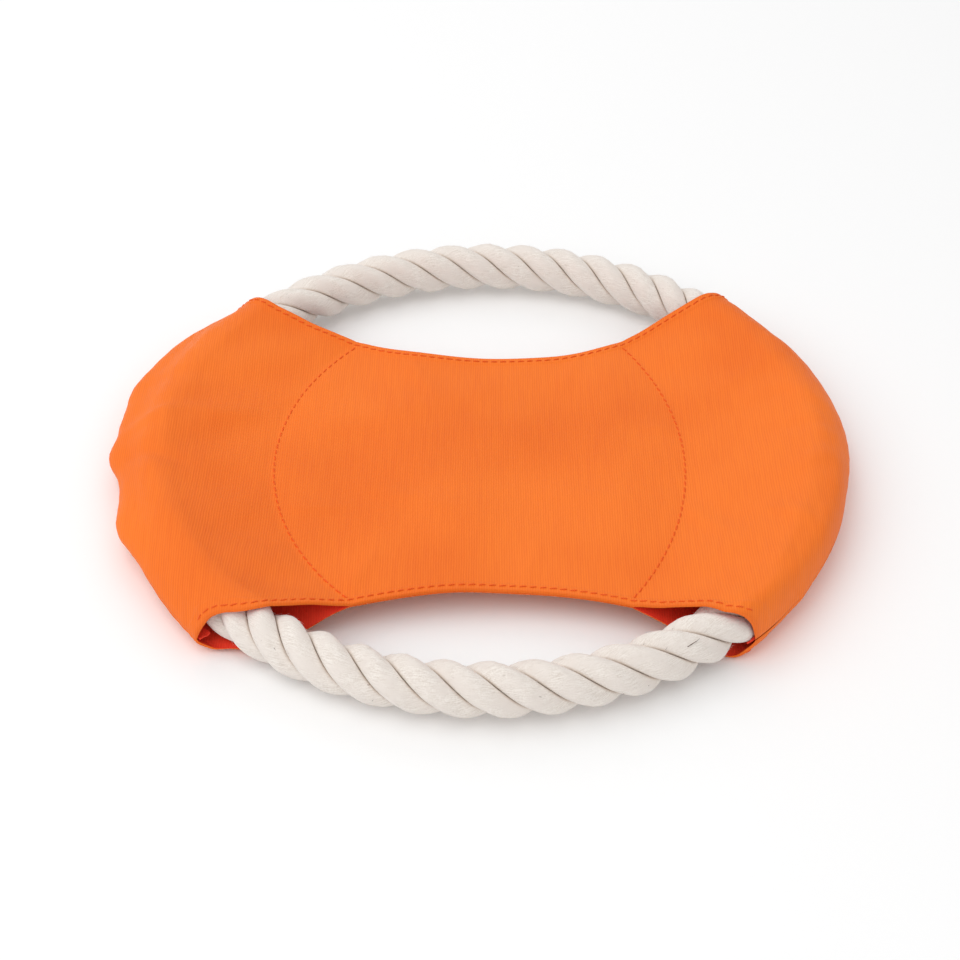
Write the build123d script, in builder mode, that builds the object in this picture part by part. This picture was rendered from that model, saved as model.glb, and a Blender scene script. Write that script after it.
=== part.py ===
from build123d import *
import os
from math import cos, degrees, radians, sin, sqrt

# Flying ring: a ring of three-strand twisted cotton rope that runs through two loose
# channels in an hourglass-shaped cover of thin woven fabric.
# Millimetres, +Z up. The origin is the centre of the ring, on the surface it lies on.
# +X points through the right-hand channel, -Y through the front grip.

# ---- rope ring ----
ring_radius = 82.0          # centre of the ring to the middle of the rope
rope_radius = 6.4           # circle that the crests of the strands lie on
strand_count = 3
lay_turns = 17              # whole turns of each strand round the ring
stations_per_turn = 12      # sections that one turn is lofted through
lay_phase = 48.0            # degrees, turns the whole lay inside the rope
strand_gap = 0.5            # space between the flanks of two neighbouring strands
crest_rise = 1.95           # how far a crest stands above the shoulders of its strand
strand_corner = 0.35        # rounding of a strand's three corners
butt_gap = 0.5              # space between the two cut ends of the rope

# ---- tape round the butted ends ----
joint_angle = 180.0         # degrees round the ring, in the middle of the left channel
tape_length = 26.0
tape_wall = 0.45            # how far the tape stands out over the crests
tape_bite = 0.2             # how far the tight tape presses into the crests

# ---- fabric cover ----
run_clearance = 0.4         # between the tape and the inside of a channel
panel_wall = 0.8            # fabric with its coating, loft and soft folds
side_margin = 2.75          # from the inside of a channel out to the cover's side edge
slope_run = 24.0            # from the middle of the rope in to the foot of the slope
foot_round = 0.5            # rounding where the two panels part
rest_depth = 0.25           # how much the fabric under the rope is pressed flat
waist_front = 51.0          # centre of the ring to the front hem, in the middle
waist_back = 38.0           # centre of the ring to the back hem, in the middle
front_hem_radius = 112.0
back_hem_radius = 105.0

# ---- stitching ----
thread_width = 0.5
thread_rise = 0.3           # how far a thread stands on the fabric
hem_inset = 1.6             # hem edge to its running stitch
channel_seam_radius = 78.0
channel_seam_reach = 51.5   # how far out each curved channel seam bows
channel_seam_y = -3.4       # where along Y it bows furthest
side_seam_inset = 1.3       # cover's side edge to the seam that joins the panels

# ---- worked out from the above ----
tape_radius = rope_radius + tape_wall
channel_radius = tape_radius + run_clearance
rope_height = channel_radius + panel_wall - rest_depth
side_radius = ring_radius + channel_radius + side_margin
slope_foot = ring_radius - slope_run
turn_angle = 360 / lay_turns
tape_angle = degrees(tape_length / ring_radius)
cover_top = rope_height + channel_radius + panel_wall
tall = 4 * cover_top        # taller than the whole cover, for cutting through it
floor_plane = Plane.XY
seam_plane = Plane.XY.offset(rope_height)


def write(part, name):
    """Label a finished piece and write it under the same name."""
    part.label = name
    export_step(part, f"parts/{name}.step")


def rope_section(ring_angle, twist=0.0):
    """Plane across the rope at an angle round the ring, its x turned from outward to up."""
    out = Vector(cos(radians(ring_angle)), sin(radians(ring_angle)), 0)
    along = Vector(-sin(radians(ring_angle)), cos(radians(ring_angle)), 0)
    x_dir = out * cos(radians(twist)) + Vector(0, 0, 1) * sin(radians(twist))
    return Plane(out * ring_radius + Vector(0, 0, rope_height), x_dir=x_dir, z_dir=along)


def strand_outline():
    """Wedge of the rope's round section, with its point at the heart and a round crest."""
    half = radians(180 / strand_count)
    heart = strand_gap / 2 / sin(half)
    shoulder = rope_radius - crest_rise
    flank = sqrt(shoulder**2 - (heart * sin(half)) ** 2) - heart * cos(half)
    side_x, side_y = heart + flank * cos(half), flank * sin(half)
    with BuildLine() as outline:
        crest = ThreePointArc((side_x, side_y), (rope_radius, 0), (side_x, -side_y))
        Line(crest @ 1, (heart, 0))
        Line((heart, 0), crest @ 0)
    make_face(outline.line)


def strand(number):
    """One strand: a lofted right-hand turn, repeated round the ring and cut at the butt."""
    first = lay_phase + 360 * number / strand_count
    with BuildPart() as turn:
        for station in range(stations_per_turn + 1):
            share = station / stations_per_turn
            with BuildSketch(rope_section(turn_angle * share, first - 360 * share)) as face:
                strand_outline()
                fillet(face.vertices(), strand_corner)
        loft()
    with BuildPart() as whole:
        with PolarLocations(0, lay_turns):
            add(turn.part)
        with BuildSketch(rope_section(joint_angle)):
            Circle(2 * rope_radius)
        extrude(amount=butt_gap / 2, both=True, mode=Mode.SUBTRACT)
    return whole.part


def channel_space(growth):
    """Half section of a channel, round the rope and tapering in to the slope's foot."""
    with Locations((ring_radius, rope_height)):
        Circle(channel_radius + growth)
    with Locations((slope_foot, rope_height)):
        Circle(foot_round + growth)
    make_hull()


def cover_layer(inner, outer):
    """Fabric layer turned about the ring's axis, between two distances from the lining."""
    with BuildPart() as layer:
        with BuildSketch(Plane.XZ):
            channel_space(outer)
            with Locations((0, rope_height)):
                Rectangle(side_radius, 2 * outer, align=(Align.MIN, Align.CENTER))
            with BuildSketch(Plane.XZ, mode=Mode.PRIVATE) as hollow:
                channel_space(inner)
                if inner > 0:
                    with Locations((0, rope_height)):
                        Rectangle(side_radius, 2 * inner, align=(Align.MIN, Align.CENTER))
            add(hollow.sketch, mode=Mode.SUBTRACT)
        revolve(axis=Axis.Z)
    return layer.part


def panel(layer, keep):
    """One panel of the cover: the layer cut to the hourglass plan, above or below the seam."""
    with BuildPart() as piece:
        add(layer)
        extrude(hourglass(0), amount=tall, both=True, mode=Mode.INTERSECT)
        split(bisect_by=seam_plane, keep=keep)
        split(bisect_by=floor_plane, keep=Keep.TOP)
    return piece.part


def stitch_line(skin, plan, keep):
    """A thread that lies on the fabric, over a narrow line of the plan."""
    with BuildPart() as thread:
        add(skin)
        extrude(plan, amount=tall, both=True, mode=Mode.INTERSECT)
        split(bisect_by=seam_plane, keep=keep)
        split(bisect_by=floor_plane, keep=Keep.TOP)
    return thread.part


def hourglass(inset):
    """Plan of a panel, drawn in from its hems by an inset."""
    with BuildSketch() as plan:
        Circle(side_radius)
        with Locations((0, -waist_front - front_hem_radius)):
            Circle(front_hem_radius + inset, mode=Mode.SUBTRACT)
        with Locations((0, waist_back + back_hem_radius)):
            Circle(back_hem_radius + inset, mode=Mode.SUBTRACT)
    return plan.sketch


def hem_line(centre_y, radius):
    """Narrow line of the plan along one hem, a stitch's inset into the fabric."""
    with BuildSketch() as plan:
        with Locations((0, centre_y)):
            Circle(radius + hem_inset + thread_width / 2)
            Circle(radius + hem_inset - thread_width / 2, mode=Mode.SUBTRACT)
        Circle(side_radius, mode=Mode.INTERSECT)
    return plan.sketch


def channel_line(side):
    """Narrow line of the plan along a curved channel seam, from hem to hem."""
    centre_x = side * (channel_seam_reach - channel_seam_radius)
    with BuildSketch() as plan:
        with Locations((centre_x, channel_seam_y)):
            Circle(channel_seam_radius + thread_width / 2)
            Circle(channel_seam_radius - thread_width / 2, mode=Mode.SUBTRACT)
        with Locations((side * side_radius, 0)):
            Rectangle(2 * side_radius, 4 * side_radius, mode=Mode.INTERSECT)
        add(hourglass(hem_inset + thread_width), mode=Mode.INTERSECT)
    return plan.sketch


def side_seam(side):
    """The seam along one side edge, a thread through both panels where they meet."""
    with BuildPart() as seam:
        with BuildSketch(Plane.XZ):
            with Locations((side_radius - side_seam_inset, rope_height)):
                Circle(thread_width / 2)
        revolve(axis=Axis.Z)
        extrude(hourglass(hem_inset), amount=tall, both=True, mode=Mode.INTERSECT)
        with Locations((side * side_radius, 0, rope_height)):
            Box(2 * side_radius, 4 * side_radius, tall, mode=Mode.INTERSECT)
    return seam.part


def joint_tape():
    """Tape wrapped tightly over both ends of the rope, in the middle of a channel."""
    with BuildPart() as tape:
        with BuildSketch(rope_section(joint_angle - tape_angle / 2)):
            Circle(tape_radius)
            Circle(rope_radius - tape_bite, mode=Mode.SUBTRACT)
        revolve(axis=Axis.Z, revolution_arc=tape_angle)
    return tape.part


os.makedirs("parts", exist_ok=True)

for number in range(strand_count):
    write(strand(number), f"rope_strand_{number + 1}")
write(joint_tape(), "joint_tape")

fabric = cover_layer(0, panel_wall)
write(panel(fabric, Keep.TOP), "top_panel")
write(panel(fabric, Keep.BOTTOM), "bottom_panel")

skin = cover_layer(panel_wall, panel_wall + thread_rise)
hems = {
    "front": hem_line(-waist_front - front_hem_radius, front_hem_radius),
    "back": hem_line(waist_back + back_hem_radius, back_hem_radius),
}
for place, plan in hems.items():
    write(stitch_line(skin, plan, Keep.TOP), f"top_{place}_hem_stitching")
    write(stitch_line(skin, plan, Keep.BOTTOM), f"bottom_{place}_hem_stitching")

for place, side in (("left", -1), ("right", 1)):
    seam_plan = channel_line(side)
    threads = [stitch_line(skin, seam_plan, keep) for keep in (Keep.TOP, Keep.BOTTOM)]
    write(Compound(children=threads), f"{place}_channel_seam")
    write(side_seam(side), f"{place}_side_seam")
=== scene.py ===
import bpy
import numpy as np
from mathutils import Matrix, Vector


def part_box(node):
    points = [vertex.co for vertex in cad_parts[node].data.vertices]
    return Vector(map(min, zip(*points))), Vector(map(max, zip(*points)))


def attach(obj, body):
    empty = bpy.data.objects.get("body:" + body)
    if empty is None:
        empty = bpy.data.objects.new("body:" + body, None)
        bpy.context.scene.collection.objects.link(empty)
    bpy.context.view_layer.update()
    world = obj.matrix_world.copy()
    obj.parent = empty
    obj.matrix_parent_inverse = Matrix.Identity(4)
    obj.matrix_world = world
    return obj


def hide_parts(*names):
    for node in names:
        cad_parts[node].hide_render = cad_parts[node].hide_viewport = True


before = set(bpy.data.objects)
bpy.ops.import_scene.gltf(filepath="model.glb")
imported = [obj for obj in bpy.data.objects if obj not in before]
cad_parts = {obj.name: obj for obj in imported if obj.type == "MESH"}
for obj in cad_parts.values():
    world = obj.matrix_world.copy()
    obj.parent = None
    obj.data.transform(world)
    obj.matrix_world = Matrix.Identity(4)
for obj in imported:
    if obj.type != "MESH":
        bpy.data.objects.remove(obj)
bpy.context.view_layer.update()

MM = 0.001
UP = np.array([0.0, 0.0, 1.0])

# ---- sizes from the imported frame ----
STRANDS = ["rope_strand_1", "rope_strand_2", "rope_strand_3"]
ROPE_LOW = min(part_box(node)[0].z for node in STRANDS)
ROPE_HIGH = max(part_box(node)[1].z for node in STRANDS)
ROPE_RADIUS = (ROPE_HIGH - ROPE_LOW) / 2
ROPE_HEIGHT = (ROPE_HIGH + ROPE_LOW) / 2
TAPE_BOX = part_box("joint_tape")
TAPE_RADIUS = (TAPE_BOX[1].z - TAPE_BOX[0].z) / 2
TAPE_LENGTH = TAPE_BOX[1].y - TAPE_BOX[0].y

# ---- the rope's lay, as in the CAD part ----
RING_RADIUS = 82 * MM
JOINT_ANGLE = 180.0          # degrees round the ring, where the two ends are butted
BUTT_GAP = 0.5 * MM
ROUTE_SPANS = 36
STATIONS = 900               # sections along the rope
LAY_TURNS = 17
LAY_PHASE = 48.0             # degrees
LAY_EASE = (10.0, 25.0, 7.0)  # degrees taken off the lay: all round, towards +X and towards +Y
STRAND_GAP = 0.02 * MM
LOBE_OFFSET = 2.65 * MM      # heart of the rope to the centre of a strand's round crest

# ---- the cover's plan ----
CLOTH = 0.36 * MM
HEM_FRONT_Y = -51.0 * MM
HEM_FRONT_RADIUS = 112 * MM
HEM_BACK_Y = 38.0 * MM
HEM_BACK_RADIUS = 105 * MM
HEM_FOLD = 2.7 * MM          # depth of the folded hem
HEM_EXTRA = 0.32 * MM        # how much thicker the cloth is there
HEM_INSET = 1.6 * MM         # hem edge to its running stitch
SEAM_Y = -3.4 * MM           # where along y the channel seams bow furthest
SEAM_LEFT = (53.6 * MM, 70 * MM)      # how far out the left channel seam bows, and its radius
SEAM_RIGHT = (49.4 * MM, 88 * MM)
CHANNEL = ROPE_HEIGHT - CLOTH - 0.02 * MM
MOUTH_TIGHTER = 0.65 * MM    # how much tighter the channel hugs the rope at its mouths
FOOT_EASE = 0.6              # how hollow the slope from the channel seam up to the rope is
STITCH_PITCH = 2.4 * MM


def smooth(x, low, high):
    """Smooth step from 0 at low to 1 at high."""
    t = np.clip((x - low) / (high - low), 0, 1)
    return t * t * (3 - 2 * t)


def hump(x, centre, width):
    """Bell curve of height 1 about a centre."""
    return np.exp(-(((x - centre) / width) ** 2))


def angle_from(angle, centre):
    """Angle in degrees counted from a centre, between -180 and 180."""
    return (angle - centre + 180) % 360 - 180


# ======================= mesh helpers =======================

def grid_faces(rows, columns, wrap_rows=False, wrap_columns=False):
    """Quads of a rows by columns grid, row by row, with its wrapped directions joined up."""
    i = np.arange(rows if wrap_rows else rows - 1)
    j = np.arange(columns if wrap_columns else columns - 1)
    i, j = np.meshgrid(i, j, indexing="ij")
    i1, j1 = (i + 1) % rows, (j + 1) % columns
    quads = np.stack([i * columns + j, i * columns + j1, i1 * columns + j1, i1 * columns + j], -1)
    return quads.reshape(-1, 4)


def tube_faces(count, rings, sides):
    """Sides and flat ends of many short tubes, each a grid of rings by sides points."""
    offset = (np.arange(count) * rings * sides)[:, None, None]
    body = (grid_faces(rings, sides, wrap_columns=True)[None] + offset).reshape(-1, 4)
    ends = np.stack([np.arange(sides)[::-1], (rings - 1) * sides + np.arange(sides)])
    return [body, (ends[None] + offset).reshape(-1, sides)]


def mesh_object(name, points, faces, material, uv=None, values=None, second=None):
    """One smooth-shaded mesh piece from an array of points and a list of face index arrays.

    uv is an array of points by 2, values a dict of named floats by point, and second a
    pair of a second material and a mask by face for where it goes.
    """
    mesh = bpy.data.meshes.new(name)
    loops = np.concatenate([f.ravel() for f in faces])
    sizes = np.concatenate([np.full(len(f), f.shape[1]) for f in faces])
    starts = np.concatenate([[0], np.cumsum(sizes)[:-1]])
    mesh.vertices.add(len(points))
    mesh.vertices.foreach_set("co", np.ascontiguousarray(points, np.float32).ravel())
    mesh.loops.add(len(loops))
    mesh.loops.foreach_set("vertex_index", loops.astype(np.int32))
    mesh.polygons.add(len(sizes))
    mesh.polygons.foreach_set("loop_start", starts.astype(np.int32))
    mesh.polygons.foreach_set("use_smooth", np.ones(len(sizes), bool))
    if uv is not None:
        layer = mesh.uv_layers.new(name="surface")
        layer.data.foreach_set("uv", np.ascontiguousarray(uv[loops], np.float32).ravel())
    for key, value in (values or {}).items():
        mesh.attributes.new(key, "FLOAT", "POINT").data.foreach_set("value", value.astype(np.float32))
    mesh.materials.append(material)
    if second is not None:
        mesh.materials.append(second[0])
        mesh.polygons.foreach_set("material_index", second[1].astype(np.int32))
    mesh.update()
    mesh.validate()
    piece = bpy.data.objects.new(name, mesh)
    bpy.context.scene.collection.objects.link(piece)
    return piece


def unit(vectors):
    """Vectors scaled to length 1 along their last axis."""
    return vectors / np.maximum(np.linalg.norm(vectors, axis=-1, keepdims=True), 1e-12)


def waves(x, y, scale, count, seed):
    """Smooth random field, about -1 to 1: a sum of plane waves with random headings and phases."""
    rng = np.random.default_rng(seed)
    heading = rng.uniform(0, 2 * np.pi, count)
    length = scale * rng.uniform(0.6, 1.6, count)
    phase = rng.uniform(0, 2 * np.pi, count)
    total = np.zeros(np.broadcast(x, y).shape)
    for h, l, p in zip(heading, length, phase):
        total = total + np.sin(2 * np.pi * (x * np.cos(h) + y * np.sin(h)) / l + p)
    return total / np.sqrt(count) / 1.4


# ======================= materials =======================

def group(name, inputs, outputs):
    """An empty shader node group with float inputs (name, default) and outputs (name, kind)."""
    tree = bpy.data.node_groups.new(name, "ShaderNodeTree")
    for label, default in inputs:
        kind = "NodeSocketVector" if default is None else "NodeSocketFloat"
        socket = tree.interface.new_socket(label, in_out="INPUT", socket_type=kind)
        if default is not None:
            socket.default_value = default
    for label, kind in outputs:
        tree.interface.new_socket(label, in_out="OUTPUT", socket_type=kind)
    return tree, tree.nodes.new("NodeGroupInput"), tree.nodes.new("NodeGroupOutput")


def node(tree, kind, links=(), **settings):
    """A node with its settings, and links of (input, value or socket)."""
    made = tree.nodes.new(kind)
    for key, value in settings.items():
        setattr(made, key, value)
    for key, value in links:
        if isinstance(value, bpy.types.NodeSocket):
            tree.links.new(value, made.inputs[key])
        else:
            made.inputs[key].default_value = value
    return made


def math(tree, operation, a, b=0.0, c=0.0):
    """One math node and its output."""
    return node(tree, "ShaderNodeMath", [(0, a), (1, b), (2, c)], operation=operation).outputs[0]


def noise(tree, vector, scale, detail=2.0, roughness=0.5):
    """Noise texture of a scale, and its value."""
    links = [("Vector", vector), ("Scale", scale), ("Detail", detail), ("Roughness", roughness)]
    return node(tree, "ShaderNodeTexNoise", links).outputs["Fac"]


def stretched(tree, vector, scale):
    """A vector scaled by a different amount along each of its axes."""
    return node(tree, "ShaderNodeVectorMath", [(0, vector), (1, scale)], operation="MULTIPLY").outputs[0]


def ramp(tree, value, low, high):
    """A value taken from low..high to 0..1, clamped and smooth."""
    links = [("Value", value), ("From Min", low), ("From Max", high)]
    made = node(tree, "ShaderNodeMapRange", links, interpolation_type="SMOOTHSTEP")
    return made.outputs["Result"]


def mix_color(tree, fac, a, b):
    """Two colours mixed by a factor."""
    return node(tree, "ShaderNodeMix", [(0, fac), (6, a), (7, b)], data_type="RGBA").outputs[2]


def principled(name):
    """A new material, its tree and its Principled shader."""
    material = bpy.data.materials.new(name)
    material.use_nodes = True
    return material, material.node_tree, material.node_tree.nodes["Principled BSDF"]


def set_inputs(shader, values):
    """Values of a shader's inputs by name, each a plain value."""
    for label, value in values.items():
        shader.inputs[label].default_value = value


def link_bump(tree, shader, strength, distance, height):
    """Bump from a height, linked to a shader's normal."""
    links = [("Strength", strength), ("Distance", distance), ("Height", height)]
    tree.links.new(node(tree, "ShaderNodeBump", links).outputs[0], shader.inputs["Normal"])


def fibre_group():
    """Loose spun fibres along u: fine streaks, soft blotches and rare dark flecks of seed."""
    tree, source, sink = group(
        "spun_fibre",
        [("Surface", None), ("Along", 560.0), ("Across", 4800.0)],
        [("Streak", "NodeSocketFloat"), ("Blotch", "NodeSocketFloat"), ("Fleck", "NodeSocketFloat")],
    )
    surface = source.outputs["Surface"]
    scale = [(0, source.outputs["Along"]), (1, source.outputs["Across"])]
    fine = stretched(tree, surface, node(tree, "ShaderNodeCombineXYZ", scale).outputs[0])
    coarse = stretched(tree, surface, (260.0, 2300.0, 1.0))
    streak = math(tree, "ADD", math(tree, "MULTIPLY", noise(tree, fine, 1.0, 3.0), 0.45),
                  math(tree, "MULTIPLY", noise(tree, coarse, 1.0, 2.0), 0.25))
    streak = math(tree, "ADD", streak, math(tree, "MULTIPLY", noise(tree, surface, 2600.0, 2.0), 0.30))
    blotch = noise(tree, surface, 190.0, 3.0)
    speck = noise(tree, stretched(tree, surface, (900.0, 2600.0, 1.0)), 1.0, 1.0)
    fleck = math(tree, "MULTIPLY", ramp(tree, speck, 0.735, 0.80),
                 ramp(tree, noise(tree, surface, 330.0, 1.0), 0.50, 0.60))
    tree.links.new(streak, sink.inputs["Streak"])
    tree.links.new(blotch, sink.inputs["Blotch"])
    tree.links.new(fleck, sink.inputs["Fleck"])
    return tree


def cotton_material(fibre):
    """Undyed cotton: warm off-white with flecks, made greyer and browner down in the grooves as painted
    shade.
    """
    material, tree, shader = principled("undyed_cotton")
    uv = node(tree, "ShaderNodeUVMap", uv_map="surface").outputs[0]
    depth = node(tree, "ShaderNodeAttribute", attribute_name="depth").outputs["Fac"]
    marks = node(tree, "ShaderNodeGroup", node_tree=fibre)
    tree.links.new(uv, marks.inputs["Surface"])
    pale = mix_color(tree, ramp(tree, marks.outputs["Streak"], 0.36, 0.62),
                     (0.72, 0.64, 0.57, 1), (0.915, 0.855, 0.795, 1))
    blotch = ramp(tree, marks.outputs["Blotch"], 0.35, 0.70)
    blotch_tone_and_edge_shade = mix_color(tree, blotch, pale, (0.82, 0.745, 0.685, 1))
    # The depth attribute paints shade into the grooves between strands: greyer and browner where the surface
    # lies deeper.
    groove_shade = mix_color(tree, depth, blotch_tone_and_edge_shade, (0.62, 0.50, 0.40, 1))
    seed = math(tree, "MULTIPLY", marks.outputs["Fleck"], 0.8)
    fleck = mix_color(tree, seed, groove_shade, (0.16, 0.10, 0.06, 1))
    tree.links.new(fleck, shader.inputs["Base Color"])
    rough = math(tree, "ADD", 0.82, math(tree, "MULTIPLY", marks.outputs["Streak"], 0.14))
    tree.links.new(rough, shader.inputs["Roughness"])
    link_bump(tree, shader, 0.7, 0.26 * MM, marks.outputs["Streak"])
    set_inputs(shader, {"Specular IOR Level": 0.25, "Sheen Weight": 0.25, "Sheen Roughness": 0.6})
    return material


def weave_group():
    """Fine ribbed weave: raised ribs along y crossed by finer picks along x, slightly uneven."""
    tree, source, sink = group(
        "rib_weave",
        [("Surface", None), ("Rib pitch", 0.6 * MM), ("Pick pitch", 0.3 * MM)],
        [("Height", "NodeSocketFloat"), ("Slub", "NodeSocketFloat"), ("Shade", "NodeSocketFloat")],
    )
    surface = source.outputs["Surface"]
    drift = math(tree, "MULTIPLY", math(tree, "SUBTRACT", noise(tree, surface, 160.0, 1.0), 0.5), 0.4 * MM)
    axes = node(tree, "ShaderNodeSeparateXYZ", [(0, surface)])
    turns = []
    for axis, label in ((0, "Rib pitch"), (1, "Pick pitch")):
        place = math(tree, "ADD", axes.outputs[axis], drift)
        turn = math(tree, "DIVIDE", math(tree, "MULTIPLY", place, 2 * np.pi), source.outputs[label])
        turns.append(math(tree, "MULTIPLY_ADD", math(tree, "COSINE", turn), 0.5, 0.5))
    height = math(tree, "ADD", math(tree, "MULTIPLY", turns[0], 0.7), math(tree, "MULTIPLY", turns[1], 0.3))
    slub = noise(tree, stretched(tree, surface, (1500.0, 90.0, 90.0)), 1.0, 2.0)
    shade = noise(tree, surface, 22.0, 2.0)
    tree.links.new(height, sink.inputs["Height"])
    tree.links.new(slub, sink.inputs["Slub"])
    tree.links.new(shade, sink.inputs["Shade"])
    return tree


def cloth_material(name, weave, bright, dark, sheen):
    """Woven polyester between two tones, with ribs, slubs and a soft sheen."""
    material, tree, shader = principled(name)
    place = node(tree, "ShaderNodeTexCoord").outputs["Object"]
    ribs = node(tree, "ShaderNodeGroup", node_tree=weave)
    tree.links.new(place, ribs.inputs["Surface"])
    rib_tone = math(tree, "MULTIPLY", ribs.outputs["Height"], 0.50)
    slub_tone = math(tree, "MULTIPLY", ramp(tree, ribs.outputs["Slub"], 0.3, 0.7), 0.15)
    shade_tone = math(tree, "MULTIPLY", ramp(tree, ribs.outputs["Shade"], 0.3, 0.7), 0.35)
    tone = math(tree, "ADD", math(tree, "ADD", rib_tone, slub_tone), shade_tone)
    # The edge attribute darkens the colour towards a hem's edge and inwards across a seam allowance: painted
    # shade.
    blotch_tone_and_edge_shade = node(tree, "ShaderNodeAttribute", attribute_name="edge").outputs["Fac"]
    color = mix_color(tree, tone, dark, bright)
    edge = mix_color(tree, math(tree, "MULTIPLY", blotch_tone_and_edge_shade, 0.5), color, dark)
    tree.links.new(edge, shader.inputs["Base Color"])
    rough = math(tree, "MULTIPLY_ADD", ribs.outputs["Slub"], 0.16, 0.50)
    tree.links.new(rough, shader.inputs["Roughness"])
    link_bump(tree, shader, 0.5, 0.10 * MM, ribs.outputs["Height"])
    set_inputs(shader, {"Specular IOR Level": 0.16, "Sheen Weight": sheen,
                        "Sheen Roughness": 0.45, "Sheen Tint": (1.0, 0.42, 0.14, 1)})
    return material


def thread_material():
    """Twisted sewing thread: fine slanting plies, a little darker and redder than the cloth."""
    material, tree, shader = principled("sewing_thread")
    uv = node(tree, "ShaderNodeUVMap", uv_map="surface").outputs[0]
    axes = node(tree, "ShaderNodeSeparateXYZ", [(0, uv)])
    ply_pitch = 0.45 * MM
    plies = 2
    slant = math(tree, "ADD", math(tree, "MULTIPLY", axes.outputs[0], 2 * np.pi / ply_pitch),
                 math(tree, "MULTIPLY", axes.outputs[1], 2 * np.pi * plies))
    ply = math(tree, "MULTIPLY_ADD", math(tree, "SINE", slant), 0.5, 0.5)
    color = mix_color(tree, ply, (0.76, 0.090, 0.010, 1), (0.94, 0.15, 0.014, 1))
    tree.links.new(color, shader.inputs["Base Color"])
    link_bump(tree, shader, 0.6, 0.06 * MM, ply)
    set_inputs(shader, {"Roughness": 0.5, "Specular IOR Level": 0.2})
    return material


def dark_fibre_material():
    """Dark bits of seed coat and stray fibre caught in the cotton, brown to nearly black."""
    material, tree, shader = principled("dark_fibre")
    uv = node(tree, "ShaderNodeUVMap", uv_map="surface").outputs[0]
    tone = ramp(tree, noise(tree, uv, 700.0, 2.0), 0.35, 0.65)
    color = mix_color(tree, tone, (0.035, 0.026, 0.020, 1), (0.14, 0.085, 0.05, 1))
    tree.links.new(color, shader.inputs["Base Color"])
    set_inputs(shader, {"Roughness": 0.7})
    return material


def plain_material(name, color, roughness):
    """Stage finish, for what isn't part of the object."""
    material, _, shader = principled(name)
    set_inputs(shader, {"Base Color": color, "Roughness": roughness, "Specular IOR Level": 0.0})
    return material


FIBRE = fibre_group()
WEAVE = weave_group()
COTTON = cotton_material(FIBRE)
CLOTH_OUT = cloth_material("orange_cloth", WEAVE, (1.00, 0.225, 0.026, 1),
                           (0.80, 0.130, 0.010, 1), 0.04)
# The faces inside the cover get a redder copy of the cloth, kept bright though in shade: painted bounce
# light between the orange faces and light shining through the cloth.
CLOTH_INSIDE_BOUNCE_LIT = cloth_material("orange_cloth_inside_bounce_lit", WEAVE, (0.98, 0.070, 0.030, 1),
                          (0.85, 0.042, 0.020, 1), 0.03)
THREAD = thread_material()
FLECK = dark_fibre_material()


# ======================= camera, light, stage =======================

CAMERA_DISTANCE = 0.499
CAMERA_TILT = np.radians(40.62)
CAMERA_TARGET = Vector((0, 0, ROPE_HEIGHT - 6.42 * MM))
LENS_MM = 73.3
SENSOR_MM = 36
CAMERA_SHIFT = (-0.0084, -0.0097)
FLOOR_REACH = 3.0            # metres from the middle of the floor to its sides
SURROUND_STRENGTH = 0.60
LIGHTS = [                   # name, place, size in metres, power in watts
    ("key", (-0.50, -0.20, 0.80), 1.1, 4.9),
    ("fill", (0.3, -0.8, 0.6), 0.8, 1.0),
    ("back", (0.0, 0.8, 0.7), 0.8, 1.6),
]


def aimed(thing, location, target):
    """Puts an object at a location, turned so that its -Z looks at a target."""
    thing.location = location
    thing.rotation_euler = (Vector(target) - Vector(location)).to_track_quat("-Z", "Y").to_euler()
    bpy.context.scene.collection.objects.link(thing)
    return thing


def make_camera():
    """The viewing camera, in front of the ring and above it."""
    data = bpy.data.cameras.new("camera")
    data.lens = LENS_MM
    data.sensor_width = SENSOR_MM
    data.shift_x, data.shift_y = CAMERA_SHIFT
    data.clip_start = 0.01
    back = Vector((0, -np.cos(CAMERA_TILT), np.sin(CAMERA_TILT))) * CAMERA_DISTANCE
    camera = aimed(bpy.data.objects.new("camera", data), CAMERA_TARGET + back, CAMERA_TARGET)
    bpy.context.scene.camera = camera


def area_light(name, location, size, power):
    """A soft square light that looks at the ring."""
    data = bpy.data.lights.new(name, "AREA")
    data.size = size
    data.energy = power
    aimed(bpy.data.objects.new(name, data), location, (0, 0, 0))


def make_stage():
    """Pale floor, even surround and soft studio lights."""
    signs = np.array([(-1, -1, 0), (1, -1, 0), (1, 1, 0), (-1, 1, 0)])
    corners = FLOOR_REACH * signs
    floor = mesh_object("floor", corners, [np.array([[0, 1, 2, 3]])],
                        plain_material("floor", (0.98, 0.98, 0.98, 1), 0.9))
    world = bpy.data.worlds.new("surround")
    bpy.context.scene.world = world
    world.use_nodes = True
    background = world.node_tree.nodes["Background"]
    set_inputs(background, {"Color": (1, 1, 1, 1), "Strength": SURROUND_STRENGTH})
    for light in LIGHTS:
        area_light(*light)
    bpy.context.scene.view_settings.view_transform = "Standard"


make_camera()
make_stage()


# ======================= rope =======================

def route_points():
    """The rope's route: control points worked out so that the spline between them is round.

    Each point lies on the crossing of two neighbouring tangents of the ring; the first
    and last lie on the ring itself, either side of the butt.
    """
    gap = BUTT_GAP / RING_RADIUS
    start = np.radians(JOINT_ANGLE) + gap / 2
    step = (2 * np.pi - gap) / ROUTE_SPANS
    turns = np.concatenate([[0], np.arange(ROUTE_SPANS) + 0.5, [ROUTE_SPANS]])
    reach = np.full(len(turns), RING_RADIUS / np.cos(step / 2))
    reach[[0, -1]] = RING_RADIUS
    angle = start + step * turns
    height = np.full(len(turns), ROPE_HEIGHT)
    return np.stack([reach * np.cos(angle), reach * np.sin(angle), height], -1)


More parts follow.
